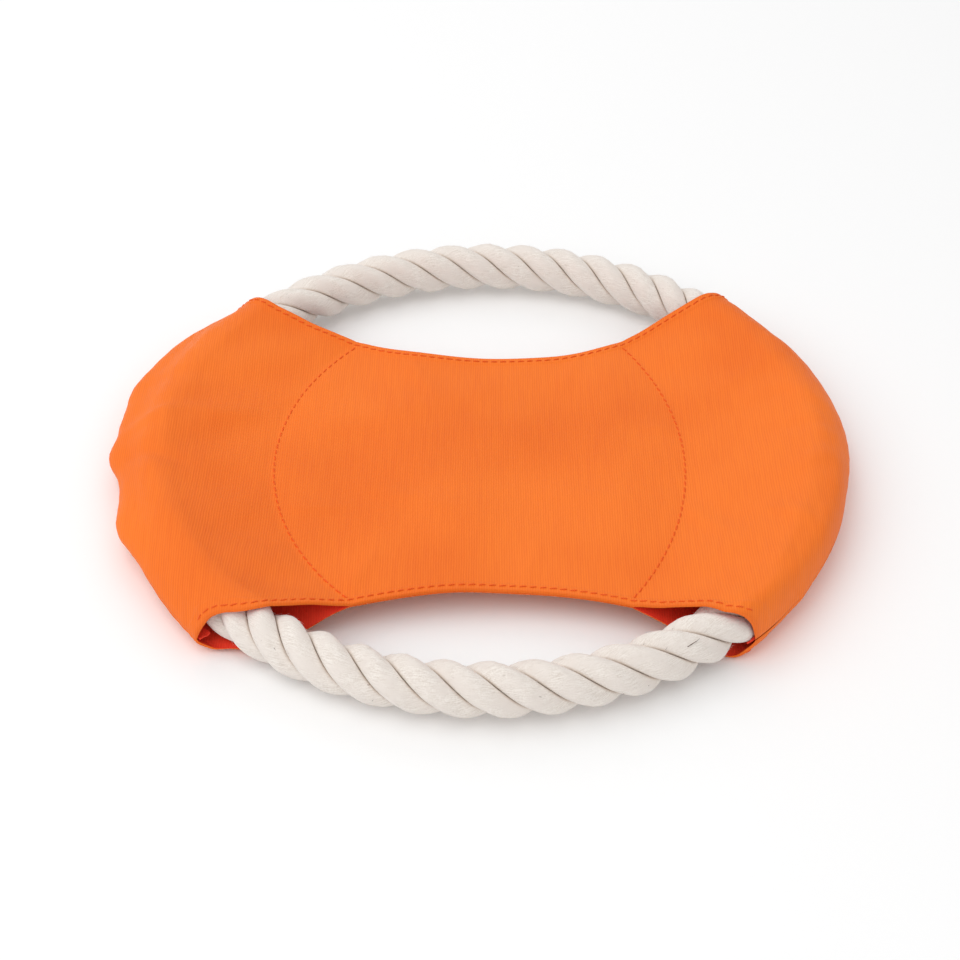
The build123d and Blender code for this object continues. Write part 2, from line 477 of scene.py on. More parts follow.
def read_route(points):
    """Points along the NURBS spline of a route, as the curve draws it."""
    data = bpy.data.curves.new("rope_route", "CURVE")
    data.dimensions = "3D"
    spline = data.splines.new("NURBS")
    spline.points.add(len(points) - 1)
    weighted = np.column_stack([points, np.ones(len(points))])
    spline.points.foreach_set("co", weighted.astype(np.float32).ravel())
    spline.order_u = 3
    spline.use_endpoint_u = True
    spline.resolution_u = 24
    curve = bpy.data.objects.new("rope_route", data)
    line = bpy.data.meshes.new_from_object(curve)
    found = np.empty(len(line.vertices) * 3, np.float32)
    line.vertices.foreach_get("co", found)
    bpy.data.objects.remove(curve)
    bpy.data.meshes.remove(line)
    return found.reshape(-1, 3).astype(float)


def run_length(line):
    """Distance along a line to each of its points."""
    step = np.linalg.norm(np.diff(line, axis=0), axis=1)
    return np.concatenate([[0], np.cumsum(step)])


def read_at(wanted, length, line):
    """Points of a line, or of anything given along it, at wanted distances along it."""
    return np.stack([np.interp(wanted, length, line[:, k]) for k in range(3)], -1)


def along(line, stations):
    """Points evenly spaced along a line, and how far along it each one is."""
    length = run_length(line)
    wanted = np.linspace(0, length[-1], stations)
    return read_at(wanted, length, line), wanted


def lay_twist(ring_angle):
    """Twist in degrees of the first strand's crest: whole turns, eased a little round the ring."""
    t = np.radians(ring_angle)
    even, by_x, by_y = LAY_EASE
    return LAY_PHASE - LAY_TURNS * ring_angle - even - by_x * np.cos(t) - by_y * np.sin(t)


def lobe(turn):
    """Strand section, as distance from the lobe's middle by direction.

    It is the soft least of three distances: to the round crest, and to the two flat
    flanks where it presses on its neighbours.
    """
    middle = 3.3 * MM
    crest_radius = ROPE_RADIUS - LOBE_OFFSET
    shift = middle - LOBE_OFFSET
    crest = -shift * np.cos(turn) + np.sqrt(crest_radius**2 - (shift * np.sin(turn)) ** 2)
    flank = middle * np.sin(np.pi / 3) - STRAND_GAP / 2
    hardness = 12.0
    total = crest**-hardness
    for side in (1, -1):
        towards = np.sin(side * turn - np.pi / 3)
        total = total + np.where(towards > 1e-3, (flank / np.maximum(towards, 1e-3)) ** -hardness, 0)
    reach = total ** (-1 / hardness)
    return middle + reach * np.cos(turn), reach * np.sin(turn)


def make_strand(number, line, arc, around=60):
    """One strand: the lobe section carried along the route and turned about it by the lay.

    Its crest is uneven by soft random waves, and scored by shallow grooves between yarns.
    """
    stations = len(line)
    bumps, yarn_depth, yarn_pitch, sink = 0.07 * MM, 0.02 * MM, 1.05 * MM, 0.05 * MM
    outward = unit(np.cross(unit(np.gradient(line, axis=0)), UP))
    ring_angle = np.degrees(np.unwrap(np.arctan2(line[:, 1], line[:, 0])))
    first = lay_twist(ring_angle) + 360 * number / len(STRANDS)
    turn = np.linspace(0, 2 * np.pi, around, endpoint=False)
    turn = turn + 0.25 * np.sin(2 * turn)
    x, y = lobe(turn)
    radius, own = np.hypot(x, y), np.arctan2(y, x)
    twist = np.radians(first)[:, None] + own[None, :]
    u = np.broadcast_to(arc[:, None], twist.shape)
    v = twist * ROPE_RADIUS
    crest = smooth(radius, 3.6 * MM, 5.6 * MM)[None, :]
    uneven = bumps * waves(u, v, 5 * MM, 8, 40 + number) * crest
    wander = 2.2 * waves(u, v, 9 * MM, 6, 50 + number)
    yarn = yarn_depth * np.sin(2 * np.pi * v / yarn_pitch + wander) * crest
    reach = radius[None, :] + uneven + yarn - sink * crest
    points = (line[:, None, :] + outward[:, None, :] * (reach * np.cos(twist))[..., None]
              + UP * (reach * np.sin(twist))[..., None])
    # depth, how far the surface lies below the rope's full radius, sets the cotton's painted groove shade
    depth = np.broadcast_to(smooth(ROPE_RADIUS - radius, 1.6 * MM, 2.8 * MM)[None, :], twist.shape)
    sides = grid_faces(stations, around, wrap_columns=True)
    caps = [np.arange(around)[None, ::-1], (stations - 1) * around + np.arange(around)[None, :]]
    uv = np.stack([u, v], -1).reshape(-1, 2)
    faces = [sides[:, ::-1], *[c[:, ::-1] for c in caps]]
    piece = mesh_object(f"strand_{number + 1}", points.reshape(-1, 3), faces, COTTON,
                        uv=uv, values={"depth": depth.ravel()})
    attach(piece, "rope")
    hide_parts(STRANDS[number])
    return piece


ROUTE = read_route(route_points())
LINE, ARC = along(ROUTE, STATIONS)
strands = [make_strand(number, LINE, ARC) for number in range(len(STRANDS))]


def make_tape(turns=5, around=48, stations=160):
    """Cotton tape wound tightly over the butted ends: a tube whose skin steps up along a spiral."""
    lap_step, end_drop, spare, bite = 0.22 * MM, 0.25 * MM, 0.02 * MM, 0.2 * MM
    half = TAPE_LENGTH / RING_RADIUS / 2
    sweep = np.linspace(-half, half, stations) + np.radians(JOINT_ANGLE)
    theta = np.linspace(0, 2 * np.pi, around, endpoint=False)
    s, t = np.meshgrid(np.linspace(0, 1, stations), theta, indexing="ij")
    lap = (s * turns + t / (2 * np.pi)) % 1
    skin = TAPE_RADIUS - lap_step * smooth(lap, 0.0, 0.12) * (1 - smooth(lap, 0.5, 1.0))
    skin = skin - end_drop * (1 - smooth(np.minimum(s, 1 - s), 0, 0.02)) - spare
    skin = skin + 0.05 * MM * waves(s * TAPE_LENGTH, t * TAPE_RADIUS, 6 * MM, 6, 70)
    skin = np.minimum(skin, TAPE_RADIUS)
    inner = np.full_like(skin, ROPE_RADIUS - bite)
    centre = np.stack([np.cos(sweep), np.sin(sweep), np.zeros(stations)], -1)

    def ring(radius):
        """Points round the rope at a radius by station and direction."""
        out = centre[:, None, :] * (RING_RADIUS + radius * np.cos(t))[..., None]
        return out + UP * (ROPE_HEIGHT + radius * np.sin(t))[..., None]

    points = np.concatenate([ring(skin).reshape(-1, 3), ring(inner).reshape(-1, 3)])
    outer_faces = grid_faces(stations, around, wrap_columns=True)
    count = stations * around
    k = np.arange(around)
    k1 = (k + 1) % around
    last = (stations - 1) * around
    ends = [np.stack([k, k1, count + k1, count + k], -1),
            np.stack([last + k1, last + k, count + last + k, count + last + k1], -1)]
    uv = np.stack([s * TAPE_LENGTH, t * TAPE_RADIUS], -1).reshape(-1, 2)
    # depth at the tape's lap steps sets the cotton's painted shade there
    depth = np.clip((TAPE_RADIUS - skin) / (0.6 * MM), 0, 0.5).ravel()
    piece = mesh_object("tape", points, [outer_faces[:, ::-1], outer_faces + count, *ends], COTTON,
                        uv=np.concatenate([uv, uv]), values={"depth": np.concatenate([depth, depth])})
    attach(piece, "rope")
    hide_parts("joint_tape")
    return piece


tape = make_tape()


def surface_reach(station_twist, turn):
    """Distance from the rope's heart to its surface, by direction round it."""
    crest_end = 59               # degrees from a crest to where its flank turns inward
    own = np.linspace(0, np.pi / 2, 200)
    x, y = lobe(own)
    radius, lean = np.hypot(x, y), np.degrees(np.arctan2(y, x))
    visible = lean < crest_end
    span = 360 / len(STRANDS)
    from_crest = np.abs((turn - station_twist + span / 2) % span - span / 2)
    return np.interp(from_crest, lean[visible], radius[visible])


def make_hairs(name, material, share, turn, length, thick, lift, heading, sides=3, rings=4):
    """Loose fibres on the rope, as thin tapered spikes that start in the surface and lift off it.

    Each follows the rope's axis, turned aside by its heading, and its tip stands a lift
    above the surface.
    """
    root = 0.12 * MM
    t = np.linspace(0, 1, rings)[None, :]
    step = length[:, None] * t * np.cos(heading)[:, None]
    station = share[:, None] * ARC[-1] + step
    centre = read_at(station, ARC, LINE)
    ring_angle = np.degrees(np.unwrap(np.arctan2(LINE[:, 1], LINE[:, 0])))
    here = np.interp(station, ARC, ring_angle)
    drift = length[:, None] * t * np.sin(heading)[:, None]
    around = turn[:, None] + np.degrees(drift / ROPE_RADIUS)
    base = surface_reach(lay_twist(here), around)
    reach = base - root + (lift[:, None] + root) * t**1.4
    out = np.stack([np.cos(np.radians(here)), np.sin(np.radians(here)), 0 * here], -1)
    lean = np.radians(around)
    normal = out * np.cos(lean)[..., None] + UP * np.sin(lean)[..., None]
    spine = centre + normal * reach[..., None]
    ahead = unit(np.gradient(spine, axis=1))
    aside = unit(np.cross(normal, ahead))
    turn_round = np.linspace(0, 2 * np.pi, sides, endpoint=False)
    fat = thick[:, None, None] * (1 - 0.85 * t[..., None])
    points = (spine[:, :, None] + aside[:, :, None] * (fat * np.cos(turn_round))[..., None]
              + normal[:, :, None] * (fat * np.sin(turn_round))[..., None])
    round_rope = (around * 1e-4)[..., None] + 0 * turn_round
    uv = np.stack(np.broadcast_arrays(station[..., None], round_rope), -1)
    piece = mesh_object(name, points.reshape(-1, 3), tube_faces(len(share), rings, sides), material,
                        uv=uv.reshape(-1, 2), values={"depth": np.zeros(points.size // 3)})
    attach(piece, "rope")
    return piece


def scattered_hairs(name, material, count, seed, length, thick, lift):
    """Loose fibres scattered evenly along the rope, clear of its taped ends, and all round it."""
    first, last = 0.03, 0.965
    rng = np.random.default_rng(seed)
    return make_hairs(name, material, rng.uniform(first, last, count), rng.uniform(0, 360, count),
                      rng.uniform(*length, count), rng.uniform(*thick, count),
                      rng.uniform(*lift, count), rng.normal(0, 0.5, count))


fuzz = scattered_hairs("rope_fuzz", COTTON, 9000, 3, (0.6 * MM, 2.2 * MM),
                       (0.018 * MM, 0.040 * MM), (0.04 * MM, 0.55 * MM))
flecks = scattered_hairs("dark_flecks", FLECK, 110, 8, (0.4 * MM, 0.9 * MM),
                         (0.04 * MM, 0.07 * MM), (0.02 * MM, 0.12 * MM))
STRAY_ANGLE = 301.2          # degrees round the ring, near the front right mouth
stray = make_hairs("stray_fibre", FLECK, np.array([(STRAY_ANGLE - JOINT_ANGLE) / 360]),
                   np.array([51.0]), np.array([3.6 * MM]), np.array([0.15 * MM]),
                   np.array([0.2 * MM]), np.array([0.14]), rings=8)


# ======================= cover =======================

def round_ring(radius, angle):
    """x and y at a distance from the ring's centre and an angle in degrees."""
    return radius * np.cos(np.radians(angle)), radius * np.sin(np.radians(angle))


def channel_size(y):
    """Radius of a channel's inside round the rope, which is tightest at the four mouths."""
    return CHANNEL - MOUTH_TIGHTER * smooth(np.abs(y), 26 * MM, 54 * MM)


def side_edge(angle):
    """Distance from the ring's centre to the cover's side edge: two arcs with soft crumples.

    The edge never comes nearer to the rope than the channel's inside and a little slack.
    """
    slack = 0.45 * MM
    left, right = angle_from(angle, 180), angle_from(angle, 0)
    on_left = (92.3 + 3.0 * hump(left, -25, 15) + 2.4 * hump(left, -14, 5.5) + 1.9 * hump(left, -6, 4)
               + 3.3 * hump(left, 1, 4) + 2.2 * hump(left, 18.5, 5) - 2.2 * smooth(-left, 38, 50))
    on_right = 89.0 + 2.5 * smooth(right, -22, 6) - 1.9 * smooth(right, 30, 48) + 0.6 * hump(right, -34, 4)
    pucker = 0.05 * np.sin(np.radians(angle) * 97 + 2 * np.sin(np.radians(angle) * 13))
    least = RING_RADIUS + channel_size(89 * MM * np.sin(np.radians(angle))) + slack
    return np.maximum((np.where(np.abs(right) < 90, on_right, on_left) + pucker) * MM, least)


def front_corners(angle, low, high):
    """Weights of the front left and front right corners: 0 to low degrees forward, 1 from high."""
    left, right = angle_from(angle, 180), angle_from(angle, 0)
    front_left = smooth(left, low, high) * (np.abs(left) < 90)
    return front_left, smooth(-right, low, high) * (np.abs(right) < 90)


def seam_rise(angle):
    """Height of the side seam over the rope's middle: it drops towards all four corners.

    It also drops a little in the middle of the left side.
    """
    front_left, front_right = front_corners(angle, 22, 46)
    middle_left = hump(angle_from(angle, 180), 0, 14)
    back = smooth(np.abs(angle_from(angle, 90)), 70, 45)
    return -(2.8 * front_left + 1.8 * front_right + 1.0 * middle_left + 3.0 * back) * MM


def edge_fullness(angle):
    """How far the cloth puffs up just inside the side edge, and how wide: most at the front left."""
    front_left, front_right = front_corners(angle, 26, 42)
    puff = 0.8 + 1.5 * front_left + 0.7 * front_right
    return puff * MM, (1.5 + 1.3 * front_left + 0.5 * front_right) * MM


def seam_circle(x):
    """Centre in x, and radius, of the bowed channel seam on a point's side."""
    left, (reach_left, radius_left), (reach_right, radius_right) = x < 0, SEAM_LEFT, SEAM_RIGHT
    centre = np.where(left, radius_left - reach_left, reach_right - radius_right)
    return centre, np.where(left, radius_left, radius_right)


def foot_distance(x, y):
    """Distance from the ring's centre, in a point's direction, to the channel seam on its side."""
    radius = np.maximum(np.hypot(x, y), 1e-9)
    centre_x, seam_radius = seam_circle(x)
    reach = (x * centre_x + y * SEAM_Y) / radius
    return reach + np.sqrt(seam_radius**2 - centre_x**2 - SEAM_Y**2 + reach**2)


def tent(out, foot, edge, rise, channel):
    """Height of cloth stretched over the rope, by distance outward from the rope's middle.

    A circle round the rope, with a parabola that meets it smoothly down to the foot on the
    inside and a straight tangent down to the side edge, which stands at its own rise.
    """
    foot = np.maximum(foot, channel + 2 * MM)
    edge = np.maximum(edge, channel + 0.3 * MM)
    ease = 4 * FOOT_EASE * (1 + FOOT_EASE) * channel**2
    inner_x = (foot - np.sqrt(foot**2 + ease)) / (2 * FOOT_EASE)
    run = np.maximum(out + foot, 0) / (inner_x + foot)
    inner = np.sqrt(channel**2 - inner_x**2) * ((1 - FOOT_EASE) * run + FOOT_EASE * run**2)
    lean = np.arctan2(rise, edge) + np.arccos(channel / np.hypot(edge, rise))
    outer_x, outer_z = channel * np.cos(lean), channel * np.sin(lean)
    outer_slope = (outer_z - rise) / (edge - outer_x)
    over = np.sqrt(np.maximum(channel**2 - np.clip(out, inner_x, outer_x) ** 2, 0))
    height = np.where(out < inner_x, inner, over)
    height = np.where(out > outer_x, rise + (edge - out) * outer_slope, height)
    return np.where(out < 0, np.maximum(height, 0), height)


def hem_pull(x, hem_y):
    """How far a hem is drawn along y where the cloth goes down over the rope."""
    front = 8 * smooth(x, 53 * MM, 69 * MM) + 10 * smooth(-x, 50 * MM, 70 * MM)
    back = (2.8 * hump(x, 49 * MM, 14 * MM) + 1.6 * hump(x, -36 * MM, 12 * MM)
            - 1.6 * smooth(-x, 50 * MM, 62 * MM))
    return np.where(hem_y < 0, front, back) * MM


def hem_lean(x, hem_y):
    """Cosine of how much a hem is turned by its pull."""
    step = 0.1 * MM
    slope = (hem_pull(x + step, hem_y) - hem_pull(x - step, hem_y)) / (2 * step)
    return 1 / np.sqrt(1 + slope**2)


def hem_distance(x, y):
    """Distance in from the nearer hem, and distance along that hem."""
    lean = hem_lean(x, np.sign(y))
    y = y - hem_pull(x, np.sign(y))
    front_centre = HEM_FRONT_Y - HEM_FRONT_RADIUS
    back_centre = HEM_BACK_Y + HEM_BACK_RADIUS
    front = np.hypot(x, y - front_centre) - HEM_FRONT_RADIUS
    back = np.hypot(x, y - back_centre) - HEM_BACK_RADIUS
    run_front = np.arctan2(x, y - front_centre) * HEM_FRONT_RADIUS
    run_back = np.arctan2(x, back_centre - y) * HEM_BACK_RADIUS
    return np.minimum(front, back) * lean, np.where(front < back, run_front, run_back)


def middle_height(x, y):
    """Height of the plane where the two panels meet: level, with the sheet's broad soft folds."""
    inside = 1 - smooth(np.hypot(x, y), 45 * MM, 72 * MM)
    folds = (0.7 * hump(x + 0.15 * y, -12 * MM, 13 * MM) - 0.6 * hump(x - 0.2 * y, 14 * MM, 10 * MM)
             + 0.5 * hump(x, 33 * MM, 8 * MM) - 0.5 * hump(x - 0.1 * y, -34 * MM, 8 * MM)
             + 0.25 * waves(x, y, 46 * MM, 6, 81))
    return ROPE_HEIGHT + folds * MM * inside


def lift(x, y, side):
    """How far a panel stands off the meeting plane, 1 for the top panel and -1 for the bottom."""
    radius = np.hypot(x, y)
    angle = np.degrees(np.arctan2(y, x))
    edge = side_edge(angle)
    foot = foot_distance(x, y)
    height = tent(radius - RING_RADIUS, RING_RADIUS - foot, edge - RING_RADIUS,
                  side * seam_rise(angle), channel_size(y))
    on_slope = smooth(radius, foot, foot + 10 * MM) * (1 - smooth(radius, 70 * MM, 80 * MM))
    loose = 0.35 + 0.5 * waves(x, y, 22 * MM, 6, 90 + side)
    crest = smooth(radius, 76 * MM, 84 * MM) * (1 - smooth(radius, edge - 3 * MM, edge))
    ruck = np.maximum(waves(angle * 1.4 * MM, radius, 11 * MM, 6, 95 + side), -0.3)
    within = edge - radius
    puff, wide = edge_fullness(angle)
    filled = np.sqrt(np.clip(within / wide, 0, 1)) * (1 - smooth(within, wide, wide + 4.5 * MM))
    return height + loose * MM * on_slope + 0.3 * MM * ruck * crest + puff * filled


CREASES = [                  # start x, y and end x, y in mm, height in mm, half width in mm
    (-93, 4, -76, 9, 0.9, 2.2),
    (-92, -4, -74, -12, -0.7, 2.4),
    (-78, 10, -58, 13, 0.5, 2.0),
    (-88, 22, -70, 26, -0.5, 3.0),
    (-52, 20, -40, 30, 0.4, 1.8),
    (-50, -22, -34, -20, 0.45, 2.2),
    (-20, 36, -14, 22, 0.35, 2.2),
    (24, 38, 20, 26, 0.30, 2.0),
    (47, -18, 58, -34, 0.55, 2.4),
    (50, 6, 40, 10, 0.35, 2.0),
    (86, -8, 72, -16, 0.6, 2.4),
    (88, 10, 74, 20, 0.5, 2.6),
    (8, -49, 12, -30, 0.35, 2.4),
    (-34, -52, -26, -34, 0.45, 2.2),
    (62, -58, 70, -44, 0.5, 2.2),
    (-50, 9, 8, 29, 0.55, 6.0),
    (-46, -4, 4, 13, -0.40, 5.0),
    (-30, -14, -6, -22, 0.35, 3.0),
    (10, -14, 38, -20, 0.30, 4.0),
    (80, -36, 66, -26, 0.6, 2.2),
    (88, 2, 70, 2, -0.4, 2.0),
    (60, 22, 78, 34, 0.45, 2.6),
    (64, 12, 82, 20, -0.35, 2.4),
    (-90, -2, -62, 14, 0.55, 4.0),
    (-84, -18, -66, -40, 0.35, 4.0),
]


def creases(x, y):
    """Soft creases: bell-shaped ridges and valleys along short lines, fading at both ends."""
    total = np.zeros(np.shape(x))
    for x0, y0, x1, y1, height, width in CREASES:
        along_x, along_y = x1 - x0, y1 - y0
        length = np.hypot(along_x, along_y)
        share = ((x / MM - x0) * along_x + (y / MM - y0) * along_y) / length**2
        across = ((x / MM - x0) * along_y - (y / MM - y0) * along_x) / length
        bend = 0.12 * length * share * (1 - share)
        fade = smooth(share, -0.25, 0.3) * (1 - smooth(share, 0.6, 1.25))
        total = total + height * fade * hump(across, bend, width)
    return total * MM


def stitch_dimple(distance, run):
    """Pull of a seam on the cloth: a narrow valley, deeper at each needle hole."""
    hole = 0.6 + 0.4 * np.cos(2 * np.pi * run / STITCH_PITCH)
    return 0.16 * MM * hump(distance, 0, 0.8 * MM) * hole


def channel_seam_distance(x, y):
    """Distance from the bowed channel seam on a point's side, and distance along it."""
    centre_x, seam_radius = seam_circle(x)
    distance = np.hypot(x - centre_x, y - SEAM_Y) - seam_radius
    run = np.arctan2(y - SEAM_Y, np.abs(x - centre_x)) * seam_radius
    return distance, run


def panel_height(x, y, side):
    """Height of a panel's inner face: lifted by the rope, fluttered at the hems, sunk at seams."""
    gap, flutter, seam_sink = 0.02 * MM, 0.35 * MM, 0.35 * MM
    hem, run = hem_distance(x, y)
    seam, _ = channel_seam_distance(x, y)
    wave = flutter * hump(hem, 0, 6 * MM) * np.sin(run / (9 * MM) + side)
    wave = wave * smooth(np.abs(seam), 2 * MM, 9 * MM)
    apart = lift(x, y, side) + wave * smooth(np.abs(x), 26 * MM, 36 * MM)
    apart = apart - seam_sink * hump(seam, 0, 2.2 * MM) + (creases(x, y) if side > 0 else 0)
    apart = np.where(np.hypot(x, y) < RING_RADIUS, np.maximum(apart, 0), apart)
    return middle_height(x, y) + side * (gap + apart)


def rounding(distance, width, least):
    """Share of the full thickness by distance from an edge: a quarter circle over a width."""
    return np.sqrt(np.clip(1 - (1 - np.clip(distance / width, 0, 1)) ** 2, least, 1))


def cloth_thickness(x, y):
    """Thickness of the cloth: double in a hem's fold, pinched at stitches, rounded at its edges."""
    hem, run = hem_distance(x, y)
    seam, seam_run = channel_seam_distance(x, y)
    angle = np.degrees(np.arctan2(y, x))
    edge = side_edge(angle) - np.hypot(x, y)
    full = CLOTH + HEM_EXTRA * (1 - smooth(hem, HEM_FOLD - 0.5 * MM, HEM_FOLD + 0.3 * MM))
    full = full - stitch_dimple(hem - HEM_INSET, run) - stitch_dimple(seam, seam_run)
    return full * rounding(hem, 0.45 * MM, 0.01) * rounding(edge, 1.1 * MM, 0.004)


def outer_face(x, y, side):
    """Points of a panel's outer face over a plan, and its outward normals."""
    step = 0.05 * MM
    z = panel_height(x, y, side)
    slope_x = (panel_height(x + step, y, side) - z) / step
    slope_y = (panel_height(x, y + step, side) - z) / step
    normal = side * unit(np.stack([-slope_x, -slope_y, np.ones_like(z)], -1))
    inner = np.stack([x, y, z], -1)
    return inner + normal * cloth_thickness(x, y)[..., None], inner, normal


def corner_angle(side, hem_y, hem_radius):
    """Angle round the ring of the corner where a hem meets a side edge."""
    way = 1 if hem_y > 0 else -1
    sweep = np.linspace(20, 70, 4000) * way
    angle = sweep if side > 0 else 180 - sweep
    x, y = round_ring(side_edge(angle), angle)
    inside = np.hypot(x, y - hem_pull(x, hem_y) - (hem_y + way * hem_radius)) - hem_radius
    return angle[np.argmin(np.abs(inside))]


def side_corners(side):
    """Angles round the ring of a side edge's front and back corners."""
    return (corner_angle(side, HEM_FRONT_Y, HEM_FRONT_RADIUS),
            corner_angle(side, HEM_BACK_Y, HEM_BACK_RADIUS))


def hem_curve(hem_y, hem_radius, a):
    """Points of a hem in plan, from its left corner (a 0) to its right one (a 1)."""
    way = 1 if hem_y > 0 else -1
    centre = hem_y + way * hem_radius
    ends = []
    for side in (-1, 1):
        angle = corner_angle(side, hem_y, hem_radius)
        x, y = round_ring(side_edge(angle), angle)
        ends.append(np.arctan2(x, way * (centre + hem_pull(x, hem_y) - y)))
    sweep = ends[0] + (ends[1] - ends[0]) * a
    x = hem_radius * np.sin(sweep)
    return np.stack([x, centre - way * hem_radius * np.cos(sweep) + hem_pull(x, hem_y)], -1)


def side_curve(side, b):
    """Points of a side edge in plan, from the front hem (b 0) to the back hem (b 1)."""
    front, back = side_corners(side)
    angle = front + (back - front) * b
    return np.stack(round_ring(side_edge(angle), angle), -1)


def plan_grid(columns, rows):
    """Plan points of a panel on a grid: its four curved edges blended across it.

    Each point is the sum of the two straight blends between facing edges, less the
    straight blend between the four corners. Rows crowd towards the hems and columns
    towards the side edges.
    """
    a = np.linspace(0, 1, columns)
    b = np.linspace(0, 1, rows)
    a = a - 0.11 * np.sin(2 * np.pi * a)
    b = b - 0.135 * np.sin(2 * np.pi * b)
    front = hem_curve(HEM_FRONT_Y, HEM_FRONT_RADIUS, a)
    back = hem_curve(HEM_BACK_Y, HEM_BACK_RADIUS, a)
    left, right = side_curve(-1, b), side_curve(1, b)
    a, b = a[:, None, None], b[None, :, None]
    between_hems = (1 - b) * front[:, None] + b * back[:, None]
    between_sides = (1 - a) * left[None] + a * right[None]
    left_corners = (1 - b) * left[0] + b * left[-1]
    right_corners = (1 - b) * right[0] + b * right[-1]
    corners = (1 - a) * left_corners + a * right_corners
    return between_hems + between_sides - corners


def make_shell(name, outer, inner, edge, flip, bounce_lit):
    """A thin closed shell between two grids of points, with a rim round all four edges.

    The last argument is 1 for each of the outer grid, inner grid and rim that shows the cloth's inside;
    those take the redder copy of the cloth, whose colour is painted bounce light.
    """
    rows, columns = outer.shape[:2]
    count = rows * columns
    index = np.arange(count).reshape(rows, columns)
    border = np.concatenate([index[:-1, 0], index[-1, :-1], index[:0:-1, -1], index[0, :0:-1]])
    following = np.roll(border, -1)
    rim = np.stack([border + count, following + count, following, border], -1)
    faces = [grid_faces(rows, columns)[:, ::-1], grid_faces(rows, columns) + count, rim]
    if flip:
        faces = [part[:, ::-1] for part in faces]
    inside = np.concatenate([np.full(len(part), kind) for part, kind in zip(faces, bounce_lit)])
    points = np.concatenate([outer.reshape(-1, 3), inner.reshape(-1, 3)])
    points[:, 2] = np.maximum(points[:, 2], 0)
    return mesh_object(name, points, faces, CLOTH_OUT, values={"edge": np.tile(edge.ravel(), 2)},
                       second=(CLOTH_INSIDE_BOUNCE_LIT, inside))


def make_panel(name, node_name, side, columns=270, rows=150):
    """One cloth panel: its outer and inner faces over the plan."""
    plan = plan_grid(columns, rows)
    x, y = plan[..., 0], plan[..., 1]
    outer, inner, _ = outer_face(x, y, side)
    hem, _ = hem_distance(x, y)
    # edge is 1 at the hem's edge fading to 0 a millimetre in; the cloth's colour darkens there as painted
    # shade.
    edge = 1 - smooth(hem, 0, 1.0 * MM)
    piece = make_shell(name, outer, inner, edge, side < 0, (0, 1, 0))
    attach(piece, "cover")
    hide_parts(node_name)
    return piece


def make_allowance(name, side, past_front, rows=420, columns=10, width=4.2 * MM):
    """Crumpled seam allowance inside a side seam: a thin ribbon that waves up and down.

    It runs inwards from the side edge towards the rope, as far as there is room for it.
    """
    front, back = side_corners(side)
    inset, clear, thick = 0.5 * MM, 0.9 * MM, 0.28 * MM
    angle = np.linspace(front - past_front * side, back - 0.6 * np.sign(back - front), rows)[:, None]
    share = np.linspace(0, 1, columns)[None, :]
    frayed = 0.3 * MM * waves(angle * 1.5 * MM, 0 * angle, 3 * MM, 6, 121)
    filling = TAPE_RADIUS - (TAPE_RADIUS - ROPE_RADIUS) * smooth(np.abs(np.sin(np.radians(angle))), 0.3, 0.6)
    room = side_edge(angle) - RING_RADIUS - filling - clear
    reach = np.clip(np.minimum(width + frayed, room), 0.3 * MM, None)
    radius = side_edge(angle) - inset - share * reach
    wave = waves(angle * 1.6 * MM, share * 3 * MM, 5 * MM, 8, 120 + side)
    z = ROPE_HEIGHT + seam_rise(angle) + (0.12 + 0.75 * share) * wave * MM
    curl = waves(angle * 1.6 * MM, 0 * angle, 9 * MM, 6, 130 + side)
    z = z + 0.25 * MM * np.sin(3 * np.pi * share) * curl
    points = np.stack(np.broadcast_arrays(*round_ring(radius, angle), z), -1)
    ahead, aside = np.gradient(points, axis=0), np.gradient(points, axis=1)
    normal = unit(np.cross(ahead, aside))
    normal = normal * np.sign(normal[..., 2:3])
    # edge runs from 0 at the side edge to 1 at the inner edge; the allowance's colour darkens inwards as
    # painted shade.
    edge = np.broadcast_to(share, z.shape)
    flip = np.cross(ahead, aside)[0, 0, 2] < 0
    upper, lower = points + normal * thick / 2, points - normal * thick / 2
    piece = make_shell(name, upper, lower, edge, flip, (1, 1, 1))
    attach(piece, "cover")
    return piece


top_panel = make_panel("top_cloth", "top_panel", 1)
bottom_panel = make_panel("bottom_cloth", "bottom_panel", -1)
make_allowance("left_seam_allowance", -1, 0.3)
make_allowance("right_seam_allowance", 1, 1.3)


# ======================= stitching =======================

def stitch_template(rings=9, sides=6):
    """One stitch lying along x from -1 to 1: a thread that arches out of the cloth and back in."""
    s = np.linspace(-1, 1, rings)
    turn = np.linspace(0, 2 * np.pi, sides, endpoint=False)
    s, turn = np.meshgrid(s, turn, indexing="ij")
    fat = np.sqrt(np.clip(1 - s**8, 0.05, 1))
    return s, fat * np.cos(turn), fat * np.sin(turn), 1 - s**4 * 1.6


def make_stitches(name, node_name, line, normal, length=1.9 * MM, thick=0.17 * MM):
    """A running stitch: the stitch template set along a line on the cloth, one every pitch."""
    arch_rise, sink, slant = 0.13 * MM, 0.02 * MM, 0.10 * MM
    arc = run_length(line)
    count = int(arc[-1] // STITCH_PITCH)
    start = (arc[-1] - count * STITCH_PITCH) / 2
    middle = start + (np.arange(count) + 0.5) * STITCH_PITCH
    half = length / 2 * (1 + 0.06 * np.sin(np.arange(count) * 2.3))
    s, across, rise, arch = stitch_template()
    place = middle[:, None, None] + half[:, None, None] * s[None]
    centre = read_at(place, arc, line)
    up = unit(read_at(place, arc, normal))
    ahead = read_at(place, arc, unit(np.gradient(line, axis=0)))
    aside = unit(np.cross(up, ahead))
    lean = slant * s[None, ..., None]
    centre = centre + up * (arch_rise * arch[None, ..., None] - sink) + aside * lean
    points = (centre + aside * (across * thick)[None, ..., None]
              + up * (rise * thick)[None, ..., None])
    round_thread = np.arctan2(rise, across)[None] / (2 * np.pi)
    uv = np.stack([place, np.broadcast_to(round_thread, place.shape)], -1)
    piece = mesh_object(name, points.reshape(-1, 3), tube_faces(count, *s.shape), THREAD,
                        uv=uv.reshape(-1, 2))
    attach(piece, "cover")
    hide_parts(node_name)
    return piece


